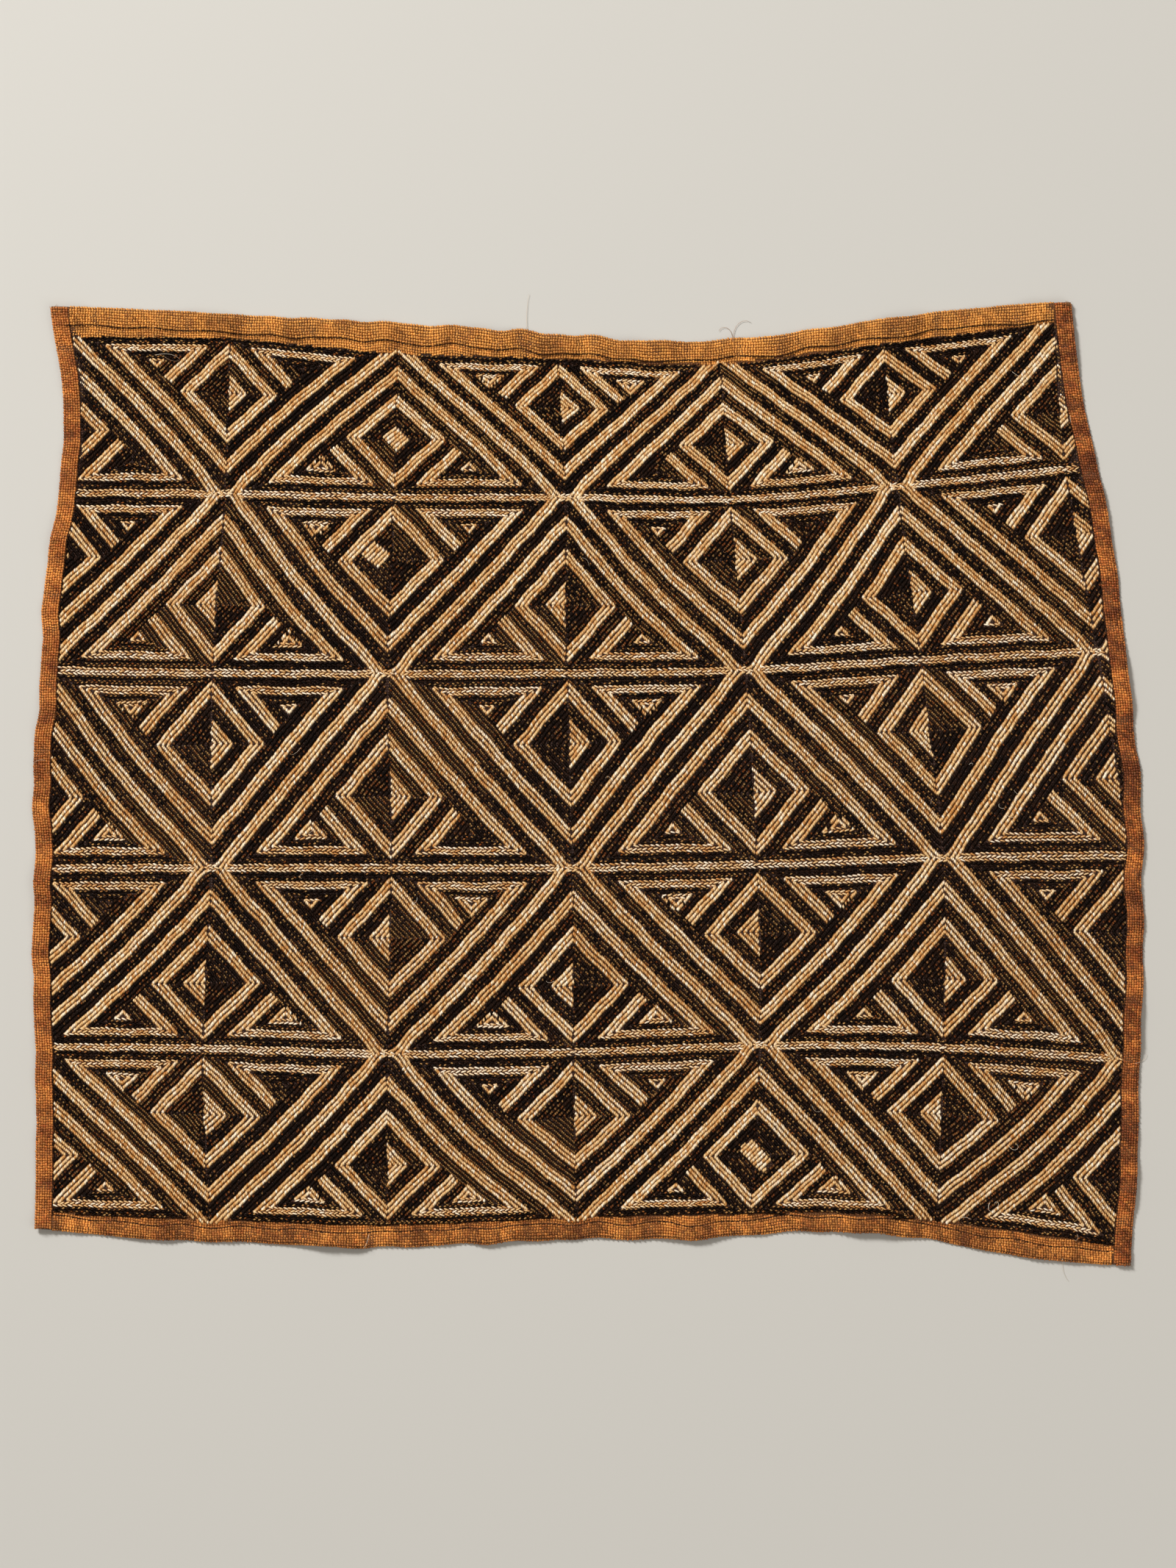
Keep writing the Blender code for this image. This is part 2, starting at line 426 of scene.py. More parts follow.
def folded_map(places, middles):
    """UV of each point seen from above. A long strip is cut in lengths that lie one above the other."""
    low = middles.min(axis=0) - MAP_MARGIN
    size = middles.max(axis=0) + MAP_MARGIN - low
    long_axis = int(size.argmax())
    short_axis = 1 - long_axis
    lengths = max(1, round(math.sqrt(size[long_axis] / size[short_axis])))
    one = (size[long_axis] - 2 * MAP_MARGIN) / lengths
    which = np.clip(((middles[:, long_axis] - low[long_axis] - MAP_MARGIN) / one).astype(int), 0, lengths - 1)
    along = places[:, :, long_axis] - low[long_axis] - (which * one)[:, None]
    across = places[:, :, short_axis] - low[short_axis]
    return np.stack([along / (one + 2 * MAP_MARGIN),
                     (which[:, None] + across / size[short_axis]) / lengths], axis=2)


def join_grains(name, grains, model):
    """grains holds arrays: x, y, turn, long, wide, high, base, start_high, end_high, tint, dot and gold."""
    count = len(grains["x"])
    column = {key: np.asarray(values, float)[:, None] for key, values in grains.items()}
    place = model["points"][None]
    along = place[:, :, 0] * column["long"]
    across = place[:, :, 1] * column["wide"]
    share_high = np.repeat(place[:, :, 2], count, axis=0)
    share_high[:, model["start"]] = grains["start_high"]
    share_high[:, model["end"]] = grains["end_high"]
    cos, sin = np.cos(column["turn"]), np.sin(column["turn"])
    x = column["x"] + along * cos - across * sin
    y = column["y"] + along * sin + across * cos
    z = rim_lift(x, y) + column["base"] + share_high * column["high"]
    points = np.stack([x + cloth_shift[0], y + cloth_shift[1], z], axis=2)
    faces = (model["faces"][None] + place.shape[1] * np.arange(count)[:, None, None]).reshape(-1, 3)

    mesh = bpy.data.meshes.new(name)
    mesh.from_pydata((points.reshape(-1, 3) * MM).tolist(), [], faces.tolist())
    mesh.shade_smooth()
    seed = (np.arange(count) * 0.618) % 1.0
    thread = np.stack([np.broadcast_to(place[:, :, 0] + 0.5, x.shape),
                       np.broadcast_to(place[:, :, 1] + 0.5, x.shape),
                       np.broadcast_to(seed[:, None], x.shape)], axis=2)
    mesh.attributes.new("thread", "FLOAT_VECTOR", "POINT").data.foreach_set("vector", thread.ravel())
    tone = np.stack([np.broadcast_to(column[key], x.shape) for key in ("tint", "dot", "gold")]
                    + [np.ones_like(x)], axis=2)
    mesh.attributes.new("tone", "FLOAT_COLOR", "POINT").data.foreach_set("color", tone.ravel())
    flat_map = folded_map(points[:, :, :2], points[:, :, :2].mean(axis=1)).reshape(-1, 2)
    mesh.uv_layers.new(name="OFBake").data.foreach_set("uv", flat_map[faces.ravel()].ravel())
    piece = bpy.data.objects.new(name, mesh)
    bpy.context.collection.objects.link(piece)
    return piece


# %% [markdown]
# ## The lattice of the pattern
#
# Six lines run across the cloth and two families of zigzag lines cross between them, so that the field
# is filled with triangles pointing down and up in turn. The lines aren't true on the real cloth, which
# was stitched by eye, so the crossings are given one by one, in millimetres from the middle of the
# photo. A smooth surface through them carries everything that is drawn in a triangle's own plain
# coordinates to its place on the cloth.

# %% Lattice
LATTICE_X = (
    (-283.0, -193.0, -102.5, -16.0, 71.0, 158.5, 251.0),
    (-286.5, -195.5, -104.5, -12.5, 76.5, 166.0, 257.0),
    (-297.0, -202.5, -108.0, -11.5, 84.5, 179.0, 274.0),
    (-301.5, -203.0, -106.0, -8.5, 91.0, 191.0, 290.0),
    (-307.0, -207.5, -108.0, -8.0, 92.5, 191.0, 289.5),
    (-302.5, -204.0, -108.5, -6.5, 87.5, 188.0, 289.0),
)
LATTICE_Y = (
    (239.5, 238.5, 230.0, 227.5, 224.5, 235.5, 247.0),
    (156.0, 155.5, 153.5, 153.5, 152.5, 159.5, 168.5),
    (60.5, 59.0, 58.5, 59.0, 60.5, 66.0, 70.5),
    (-46.0, -46.0, -46.0, -46.0, -44.0, -40.5, -39.0),
    (-142.0, -143.0, -146.0, -145.0, -141.5, -142.5, -149.0),
    (-232.0, -235.0, -238.0, -234.0, -232.0, -236.0, -250.0),
)
# How far each leg bows to the right between its crossings, for the six legs of every strip
LEG_BOWS = (
    (1.0, -0.5, 1.0, 0.5, 0.0, 0.0),
    (1.0, -2.5, 1.0, -2.5, 2.0, -0.5),
    (-2.0, -0.5, -1.0, -1.5, 1.0, -2.0),
    (1.5, 0.5, 1.0, 0.0, 1.5, -1.0),
    (0.5, 2.0, -2.5, 2.0, 0.5, 2.5),
)
# Half the width of the band that follows each line, and how far beyond the line the legs would meet
LINE_HALF = 2.24
LEG_BEYOND = 3.5
# The bands give way to each other round a crossing: how far they are pushed aside, and within what reach
CROSSING_PUSH = 2.1
CROSSING_REACH = 9.0


def widened(table):
    """The table with two more columns and one more row on each side, carried on in a straight line."""
    table = np.array(table)
    for _ in range(2):
        table = np.column_stack([2 * table[:, 0] - table[:, 1], table, 2 * table[:, -1] - table[:, -2]])
    return np.vstack([2 * table[0] - table[1], table, 2 * table[-1] - table[-2]])


def curve_weights(part):
    """The shares of the four neighbours in a smooth curve, for the part of the way between the middle two."""
    square = part * part
    cube = square * part
    return (-0.5 * cube + square - 0.5 * part, 1.5 * cube - 2.5 * square + 1.0,
            -1.5 * cube + 2 * square + 0.5 * part, 0.5 * cube - 0.5 * square)


lattice = np.stack([widened(LATTICE_X), widened(LATTICE_Y)])


def leg_bow(column, line):
    """How far the leg of this cell stands to the right of its straight line, fading to the cell's sides."""
    strip = np.clip(np.floor(line).astype(int), 0, 4)
    cell = np.clip(np.floor(column).astype(int), 0, 5)
    inside = (column > 0) & (column < 6) & (line > 0) & (line < 5)
    return np.where(inside, np.array(LEG_BOWS)[strip, cell], 0) * (
        np.abs(np.sin(np.pi * column) * np.sin(np.pi * line)))


def crossing_push(column, line):
    """How far a place is pushed to the right by the crossing next to it, where bands bend round each other."""
    near_line = np.rint(line)
    near_column = 2 * np.rint((column + near_line) / 2) - near_line
    across, down = 93.0 * (column - near_column), 95.0 * (line - near_line)
    inside = (near_line > 0) & (near_line < 5)
    return np.where(inside, CROSSING_PUSH * np.tanh(across / 3.0), 0) * (
        np.exp(-(across ** 2 + down ** 2) / CROSSING_REACH ** 2))


def lattice_place(column, line):
    """Where a place of the lattice lies on the cloth, in millimetres, with its small hand-made wander."""
    first = np.clip(np.floor(column).astype(int), -1, 6)
    upper = np.clip(np.floor(line).astype(int), 0, 4)
    across = curve_weights(column - first)
    down = curve_weights(line - upper)
    place = 0
    for i, share_down in enumerate(down):
        for j, share_across in enumerate(across):
            place = place + share_down * share_across * lattice[:, upper + i, first + 1 + j]
    x, y = place
    bow = leg_bow(column, line) / math.sqrt(2)
    rises = (np.floor(column) + np.floor(line)) % 2 == 1
    return (x + bow + crossing_push(column, line) + 0.3 * soft_noise(x, y, 23.0, 42),
            y + np.where(rises, -bow, bow) + 0.3 * soft_noise(x, y, 21.0, 44))


print("lattice lines lie", np.diff(np.array(LATTICE_Y).mean(axis=1)).round(1), "mm apart")

# %% [markdown]
# ## The weave on the hem
#
# The hem and the narrow strip beside it are the only places where the ground cloth shows. It is a plain
# weave of thick, uneven raffia, about six threads a centimetre one way and seven the other. Each
# crossing is a bead, with a standing thread on top at one and a lying thread at the next. The standing
# threads are the fuller ones, so the beads line up in ribs with dark grooves between them. The rows of
# beads follow the cloth's edges, as the threads of the real hem do.

# %% Weave of the hem
THREAD_STEP = 1.42
PICK_STEP = 1.4
STITCHES_FROM_EDGE = {"top": 11.4, "bottom": 9.8}
# For each edge's hem: rows of beads in the fold and in all, gold share, base tint and how much the tint varies. The top
# hem is lighter and more golden, the right hem darker and rustier.
BEAD_COLUMNS = ("edge", "rows_in_hem", "rows", "gold", "light", "uneven")
BEAD_ROWS = (
    ("top", 7, 12, 0.85, 0.54, 1.0),
    ("bottom", 6, 12, 0.48, 0.42, 1.5),
    ("left", 7, 7, 0.36, 0.52, 1.1),
    ("right", 7, 7, 0.2, 0.34, 1.6),
)
BEAD_SEED = 31


def row_depth(edge, row, rows_in_hem, along):
    """How far in from the edge each row of beads lies. The rows follow the fold on both sides of it."""
    fold = hem_wide(edge, along)
    in_hem = 0.3 + row * (fold - 0.95) / (rows_in_hem - 1)
    on_strip = fold + 0.85 + (row - rows_in_hem) * PICK_STEP
    return np.where(row < rows_in_hem, in_hem, on_strip)


def outside_stitches(edge, x, y, depth):
    """True beyond the first and last line of the embroidery, and where the end hems cut it off."""
    first = np.interp(x, LATTICE_X[0], LATTICE_Y[0])
    last = np.interp(x, LATTICE_X[-1], LATTICE_Y[-1])
    return (y > first + 0.5) | (y < last - 0.5) | (depth < STITCHES_FROM_EDGE[edge] - 0.9)


def hem_beads(edge, rows_in_hem, rows, gold, light, uneven):
    """The beads of one hem, as arrays for join_grains."""
    chance = np.random.default_rng(BEAD_SEED + len(edge) * 7 + rows)
    end_hem = edge in ("top", "bottom")
    start, end = (CORNERS[name] for name in EDGE_ENDS[edge])
    run = 0 if end_hem else 1
    step = THREAD_STEP if end_hem else PICK_STEP
    count = int(abs(end[run] - start[run]) / step)
    place, row = np.meshgrid(np.arange(count), np.arange(rows), indexing="ij")
    place, row = place.ravel(), row.ravel()
    along = min(start[run], end[run]) + (place + 0.5) * step
    along = along + 0.25 * soft_noise(along, row * 9.0, 17.0, 5)
    depth = row_depth(edge, row, rows_in_hem, along)
    inward = -1.0 if edge in ("top", "right") else 1.0
    if end_hem:
        x, y = along, edge_at(edge, along) + inward * depth
    else:
        x, y = edge_at(edge, along) + inward * depth, along
    gaps = from_edges(x, y)
    side = np.minimum(gaps["left"], gaps["right"])
    if end_hem:
        keep = (side > SIDE_HEM_WIDE + 0.6) & outside_stitches(edge, x, y, depth)
    else:
        keep = (np.minimum(gaps["top"], gaps["bottom"]) > 0.2) & (depth < SIDE_HEM_WIDE + 0.1)
    x, y, place, row = x[keep], y[keep], place[keep], row[keep]
    standing = (place + row) % 2 == 0
    total = len(x)
    patch = soft_noise(x, y, 26.0, 11) + 0.6 * soft_noise(x, y, 7.0, 12)
    # Bands across the hem are painted shade: a darker tint and a rustier gold where its puckered folds would be shaded.
    # The patches above and the random part are the dye's own unevenness.
    painted_fold_shade = soft_noise(x if end_hem else y, 0 * x, 8.5, 13)
    return {
        "x": x + chance.normal(0, 0.06, total),
        "y": y + chance.normal(0, 0.05, total),
        "turn": np.where(standing, np.pi / 2, 0.0) + chance.normal(0, 0.09, total),
        "long": np.where(standing, 1.95, 1.7) * chance.normal(1.0, 0.06, total),
        "wide": np.where(standing, 1.36, 1.44) * chance.normal(1.0, 0.06, total),
        "high": np.where(standing, 0.72, 0.6) * chance.normal(1.0, 0.1, total),
        "base": sheet_high(x, y) - 0.08,
        "start_high": np.full(total, 0.2),
        "end_high": np.full(total, 0.2),
        "tint": np.clip(light + uneven * (0.16 * patch + 0.16 * painted_fold_shade + chance.normal(0, 0.12, total)), 0, 1),
        "dot": np.zeros(total),
        "gold": np.clip(gold + 0.12 * patch + 0.12 * painted_fold_shade + chance.normal(0, 0.1, total), 0, 1),
    }


hem_pieces = []
for bead_row in BEAD_ROWS:
    bead = dict(zip(BEAD_COLUMNS, bead_row))
    hem_pieces.append(join_grains("hem_weave_" + bead["edge"], hem_beads(**bead), bead_model))
print("hem weave:", {piece.name: len(piece.data.polygons) for piece in hem_pieces}, "faces")

# %% [markdown]
# ## The plan of one triangle
#
# All triangles share one plan, counted in rows of stitches from three lines: the slanted leg, the base,
# and the side of the diamond that hangs from the middle of the base. Every band is three rows wide. From
# the leg inwards they are straw, black, straw and black; the diamond has a straw frame, a black band and
# a core that is half straw and half black; and between them sit two small triangles. The plan tells for
# each stitch which line its row follows and which colour it has.

# %% Plan of one triangle
LEG, BASE, TIP, PATCH = range(4)
TIP_GAP = 4.0


def triangle_plan(leg, base, tip, side, core, patch, heart_gap):
    """Family and colour of each place. leg, base and tip are rows from the three lines, side is the half's
    sign, core says which half of the diamond's heart is straw, patch is true inside a square heart, and
    heart_gap is how many black rows surround the heart of a small triangle."""
    family = np.full(leg.shape, LEG)
    straw = np.zeros(leg.shape, bool)
    by_tip = leg >= 10.5
    in_diamond = (tip < 0) & by_tip
    on_line = (leg < 1.5) | (base < 1.5)
    family[~(leg < 1.5) & (base < 1.5)] = BASE
    straw[on_line] = True

    outer = ~on_line & ~in_diamond & ((leg < 4.5) | (base < 4.5))
    tip_depth = np.where((tip >= 0) & by_tip, tip, np.inf)
    nearest = np.argmin([leg - 1.5, base - 1.5, tip_depth], axis=0)
    family[outer] = nearest[outer]

    inner = ~on_line & ~in_diamond & ~outer
    beside_tip = inner & by_tip & (tip < 3)
    family[beside_tip] = TIP
    small = inner & (tip >= 3)
    arm_depth = np.where(by_tip, tip - 3, np.inf)
    ring = np.argmin([leg - 4.5, base - 4.5, arm_depth], axis=0)
    in_ring = small & ((leg < 7.5) | (base < 7.5) | (by_tip & (tip < 6)))
    family[in_ring] = ring[in_ring]
    straw[in_ring] = True
    straw[inner & (leg < 7.5)] = True
    heart = small & ~in_ring
    heart_depths = [leg - 7.5, base - 7.5, np.where(by_tip, tip - 6, np.inf)]
    family[heart] = np.argmin(heart_depths, axis=0)[heart]
    straw[heart] = np.min([leg - 7.5, base - 7.5, tip - 6], axis=0)[heart] >= heart_gap

    depth = np.minimum(-tip, leg - 10.5)
    family[in_diamond] = np.where(-tip < leg - 10.5, TIP, LEG)[in_diamond]
    straw[in_diamond & (depth < 3)] = True
    in_core = in_diamond & (depth >= 6)
    if core not in PATCHES:
        straw[in_core] = side == (1 if core == "R" else -1)
    family[in_diamond & patch] = PATCH
    straw[in_diamond & patch] = True
    return family, straw


# %% [markdown]
# ## Rows of stitches
#
# Stitches lie in rows along the three lines. What they look like depends on how the row runs over the
# threads of the ground cloth: rows that climb to the right make ropes of long slanted grains, rows that
# fall to the right make a closer, woven-looking texture with more of the ground showing between the
# grains, and level rows slant to and fro in turn like a braid. Candidates are laid out along every row
# of a triangle, and those stay whose place belongs to the row's own family.

# %% Stitch kinds and the chart of diamond hearts
STITCH_COLUMNS = ("kind", "long", "wide", "high", "step", "slant", "start_high", "end_high", "black_dot",
                  "straw_dot", "dot_light", "dot_rust")
STITCH_ROWS = (
    ("rope", 3.1, 2.15, 1.05, 1.12, 38.0, 0.2, 0.4, 0.4, 0.45, 0.42, 1.7),
    ("woven", 2.95, 1.85, 1.0, 1.1, -46.0, 0.2, 0.55, 0.65, 0.45, 0.9, 0.6),
    ("braid", 3.75, 1.28, 1.05, 2.73, 21.0, 0.15, 0.4, 0.6, 0.4, 0.9, 0.7),
)
# One letter for each triangle of a strip, from left to right: the straw half of its diamond's heart,
# right or left, or S, T and U for a straw patch on black.
CORE_CHART = ("RRSRRRR", "RLULRRR", "RRRRRLL", "RLLLLRR", "RRRRTLR")
# How many black rows ring the heart of a small triangle. The last one leaves no heart.
HEART_GAPS = (2.2, 2.5, 2.5, 2.9, 2.9, 3.3, 9.0)
STITCH_SEED = 101
RUN_LONG = 34
# How many rows there are from a leg to the middle of the base opposite, and from a base to the apex
ROWS_FROM_LEG = 33.4
ROWS_FROM_BASE = 65
# For each patch how many rows it has, and how far its middle lies to the right and above the heart's
PATCHES = {"S": (6, 0.0, 0.5), "T": (9, 0.5, -0.5), "U": (6, -8.0, 3.0)}
PATCH_LONG = 9.2


def strip_sizes(strip):
    """A strip's plain sizes in millimetres, as a dictionary. The cuts are what the cloth's ends cut off, and
    the legs run on through the bands of both lines, so that they are steeper than the strip is high."""
    xs = np.array(LATTICE_X)[strip:strip + 2]
    ys = np.array(LATTICE_Y)[strip:strip + 2]
    half_base = np.diff(xs, axis=1).mean()
    cut_top = LINE_HALF if strip == 0 else 0.0
    cut_bottom = LINE_HALF if strip == len(CORE_CHART) - 1 else 0.0
    high = (ys[0] - ys[1]).mean() + cut_top + cut_bottom
    leg_high = high + 2 * LEG_BEYOND
    slope = math.hypot(leg_high, half_base)
    leg_row = leg_high * half_base / slope / ROWS_FROM_LEG
    tip_end = high + LEG_BEYOND - 10.5 * leg_row * slope / half_base
    return {"half_base": half_base, "high": high, "cut_top": cut_top, "cut_bottom": cut_bottom,
            "leg_row": leg_row, "base_row": high / ROWS_FROM_BASE, "apex": high + LEG_BEYOND,
            "ahead": half_base / slope, "up": leg_high / slope, "heart": (TIP_GAP + tip_end) / 2}


def row_lines(sizes, side, climb, shift):
    """Where each family's rows lie in a half triangle: a start, the way along a row, and the way across."""
    ahead, up = sizes["ahead"], sizes["up"]
    return {
        LEG: ((0.0, sizes["apex"]), (ahead, -up), (-up, -ahead)),
        BASE: ((0.0, 0.0), (1.0, 0.0), (0.0, 1.0)),
        TIP: ((0.0, TIP_GAP), (ahead, up), (up, -ahead)),
        PATCH: ((side * shift[0], sizes["heart"] + climb * shift[1]), (side * ahead, climb * up),
                (up, -side * climb * ahead)),
    }


def stitch_arrays(shape, x, y, turn, straw, braided, run, chance):
    """The arrays of stitches of one kind. run is the shade, 0 to 1, of the strand each is sewn with."""
    total = len(x)
    dots = np.where(straw, shape["straw_dot"], shape["black_dot"]) * chance.uniform(0.75, 1.15)
    dots = dots * (1.0 + 0.6 * soft_noise(x, y, 130.0, 61))
    tint = 0.25 + 0.45 * run + 0.15 * straw * braided
    return {
        "x": x + chance.normal(0, 0.08, total),
        "y": y + chance.normal(0, 0.08, total),
        "turn": turn + chance.normal(0, 0.07, total),
        "long": shape["long"] * chance.normal(1.0, 0.06, total),
        "wide": shape["wide"] * chance.normal(1.0, 0.07, total),
        "high": shape["high"] * chance.normal(1.0, 0.07, total),
        "base": FIELD_HIGH - 0.1 + chance.normal(0, 0.05, total),
        "start_high": np.full(total, shape["start_high"]),
        "end_high": np.full(total, shape["end_high"]),
        "tint": np.clip(tint + chance.normal(0, 0.25, total), 0, 1),
        "dot": (chance.random(total) < dots) * chance.uniform(0.4, 1.0, total) * shape["dot_light"],
        "gold": chance.random(total) ** shape["dot_rust"],
        "braided": np.full(total, braided),
        "straw": straw,
    }


def stitches_of_half(strip, column, side, chance):
    """The stitches on one side of a triangle's middle line, as a list of arrays for each row family."""
    sizes = strip_sizes(strip)
    high = sizes["high"]
    points_down = (strip + column) % 2 == 1
    core = CORE_CHART[strip][column]
    patch_rows, *shift = PATCHES.get(core, (0, 0.0, 0.0))
    lines = row_lines(sizes, side, -1 if points_down else 1, shift)
    lowest = sizes["cut_top"] if points_down else sizes["cut_bottom"]

    def measured(family, u, v):
        start, ahead, across = lines[family]
        u, v = u - start[0], v - start[1]
        return u * ahead[0] + v * ahead[1], u * across[0] + v * across[1]

    def placed(u, v):
        down = v if points_down else high - v
        line = strip + (down - sizes["cut_top"]) / (high - sizes["cut_top"] - sizes["cut_bottom"])
        return lattice_place(column + side * u / sizes["half_base"], line)

    heart_gap = chance.choice(HEART_GAPS)
    found = []
    for family in (LEG, BASE, TIP, PATCH):
        if family == PATCH and (side < 0 or not patch_rows):
            continue
        climbs = (side > 0) == points_down
        climbs = not climbs if family == TIP else climbs
        kind = 2 if family == BASE else 0 if climbs or family == PATCH else 1
        shape = dict(zip(STITCH_COLUMNS, STITCH_ROWS[kind]))
        start, ahead, across = lines[family]
        row, place = (grid.ravel() for grid in np.meshgrid(np.arange(-45, 60), np.arange(-85, 140)))
        if family in (LEG, BASE):
            away = row * (sizes["leg_row"] if family == LEG else sizes["base_row"])
            chosen = row >= (0 if points_down else 1)
        else:
            away = (row + 0.5) * sizes["leg_row"]
            chosen = np.abs(row) < 45
        stagger = np.where(row % 2 == 0, 0.25, 0.75) if family == BASE else 0.4
        at_axis = 0.0 if family in (BASE, PATCH) else -across[0] * away / ahead[0]
        along = at_axis + (place + stagger) * shape["step"] + chance.uniform(-0.1, 0.1, 105)[row % 105]
        u = start[0] + along * ahead[0] + away * across[0]
        v = start[1] + along * ahead[1] + away * across[1]
        leg = measured(LEG, u, v)[1] / sizes["leg_row"]
        tip = measured(TIP, u, v)[1] / sizes["leg_row"]
        base = v / sizes["base_row"]
        patch_along, patch_away = measured(PATCH, u, v)
        patch = (np.abs(patch_away) < patch_rows / 2 * sizes["leg_row"]) & (np.abs(patch_along) < PATCH_LONG / 2)
        own, straw = triangle_plan(leg, base, tip, side, core, patch, heart_gap)
        chosen &= (own == family) & (leg > -0.2) & (v > lowest - 0.2) & (v < high)
        chosen &= (family == PATCH) | (u > np.where(leg < 1.5, 0.9, 0.3))
        u, v, row, place, straw = u[chosen], v[chosen], row[chosen], place[chosen], straw[chosen]
        if not len(u):
            continue
        x, y = placed(u, v)
        ahead_x, ahead_y = placed(u + ahead[0], v + ahead[1])
        turn = np.arctan2(ahead_y - y, ahead_x - x)
        turn = np.where(np.cos(turn) < 0, turn + np.pi, turn)
        slant = np.radians(shape["slant"])
        if family == BASE:
            slant = np.where(row % 2 == 0, slant, -slant)
        run = chance.random((105, 12))[row % 105, (place // RUN_LONG) % 12]
        found.append(stitch_arrays(shape, x, y, turn + slant, straw, family == BASE, run, chance))
    return found


# %% [markdown]
# ## The whole embroidery
#
# Every triangle of the five strips is filled in turn, also those that the side hems cut, because the
# pattern runs on under the turned edge. Whatever would lie on a hem or on the bare strip is dropped. The
# slanting stitches are joined strip by strip and colour by colour, as ten pieces, and the level rows,
# whose longer grains make braids, as two more.

# %% Embroidery
# The level stitches in the middle of a crossing: row above or below it, and places along that row
CROSSING_ROWS = ((-1.4, (-1.4, 1.4)), (0.0, (-2.7, 0.0, 2.7)), (1.4, (-1.4, 1.4)))


def stitches_of_crossings(line, chance):
    """The straw stitches that carry a line's band through its crossings, as arrays."""
    shape = dict(zip(STITCH_COLUMNS, STITCH_ROWS[2]))
    places = []
    for column in range(line % 2, len(LATTICE_X[0]), 2):
        x, y = lattice_place(np.array(float(column)), np.array(float(line)))
        for above, alongs in CROSSING_ROWS:
            places += [(x + along, y + above, above) for along in alongs]
    x, y, above = np.array(places).T
    turn = np.radians(shape["slant"]) * np.where(above == 0, -1.0, 1.0)
    run = np.full(len(x), 0.5)
    return stitch_arrays(shape, x, y, turn, np.ones(len(x), bool), True, run, chance)


def stitches_of_strip(strip, chance):
    rows = []
    for column in range(len(CORE_CHART[strip])):
        for side in (-1, 1):
            rows += stitches_of_half(strip, column, side, chance)
    if strip > 0:
        rows.append(stitches_of_crossings(strip, chance))
    joined = {key: np.concatenate([row[key] for row in rows]) for key in rows[0]}
    gaps = from_edges(joined["x"], joined["y"])
    side_gap = np.minimum(gaps["left"], gaps["right"])
    keep = side_gap > SIDE_HEM_WIDE + 0.6
    for edge, limit in STITCHES_FROM_EDGE.items():
        keep &= gaps[edge] > limit
    return {key: values[keep] for key, values in joined.items()}


embroidery = []
braids = {"straw": [], "black": []}
stitch_count = 0
stitch_chance = np.random.default_rng(STITCH_SEED)
for strip_index in range(len(CORE_CHART)):
    stitches = stitches_of_strip(strip_index, stitch_chance)
    is_straw, is_braided = stitches.pop("straw"), stitches.pop("braided")
    stitch_count += len(is_straw)
    for colour, chosen in (("straw", is_straw), ("black", ~is_straw)):
        slanting = {key: values[chosen & ~is_braided] for key, values in stitches.items()}
        embroidery.append(join_grains(f"{colour}_stitches_{strip_index + 1}", slanting, stitch_model))
        braids[colour].append({key: values[chosen & is_braided] for key, values in stitches.items()})
for colour, parts in braids.items():
    together = {key: np.concatenate([part[key] for part in parts]) for key in parts[0]}
    embroidery.append(join_grains(f"{colour}_braids", together, bead_model))
print(stitch_count, "stitches,", sum(len(piece.data.polygons) for piece in embroidery), "faces")

# %% [markdown]
# ## Sewing of the hems
#
# The folded edges are held down by small stitches, set close together. They lie almost along the fold, a little
# aslant, and pull it down into a crease that wanders with the fold. Their dark brown is painted shadow: the close
# row of stitches also stands for the shadow in the crease.

# %% Sewing in the creases
SEWING_STEP = 2.15
SEWING_LONG = 2.7
SEWING_SLANT = 13.0
SEWING_SEED = 41


def sewing_of_edge(edge, chance):
    """The stitches that hold one hem, as arrays for join_grains."""
    end_hem = edge in ("top", "bottom")
    run = 0 if end_hem else 1
    low, high = sorted(CORNERS[name][run] for name in EDGE_ENDS[edge])
    along = np.arange(low + SIDE_HEM_WIDE, high - SIDE_HEM_WIDE, SEWING_STEP)
    along = along + chance.normal(0, 0.25, len(along))
    inward = -1.0 if edge in ("top", "right") else 1.0
    depth = hem_wide(edge, along) + 0.15 + chance.normal(0, 0.1, len(along))
    across = edge_at(edge, along) + inward * depth
    x, y = (along, across) if end_hem else (across, along)
    total = len(along)
    return {
        "x": x, "y": y,
        "turn": np.radians((0.0 if end_hem else 90.0) + SEWING_SLANT + chance.normal(0, 6.0, total)),
        "long": SEWING_LONG * chance.normal(1.0, 0.12, total),
        "wide": chance.normal(0.75, 0.08, total),
        "high": np.full(total, 0.5),
        "base": sheet_high(x, y) + 0.1 + chance.normal(0, 0.05, total),
        "start_high": np.full(total, 0.1),
        "end_high": np.full(total, 0.1),
        "tint": chance.uniform(0.0, 1.0, total),
        "dot": np.zeros(total),
        "gold": np.zeros(total),
    }


sewing_chance = np.random.default_rng(SEWING_SEED)
sewing = [sewing_of_edge(edge, sewing_chance) for edge in EDGE_ENDS]
hem_sewing = join_grains("hem_sewing", {key: np.concatenate([part[key] for part in sewing])
                                        for key in sewing[0]}, bead_model)
print("sewing stitches:", sum(len(part["x"]) for part in sewing))
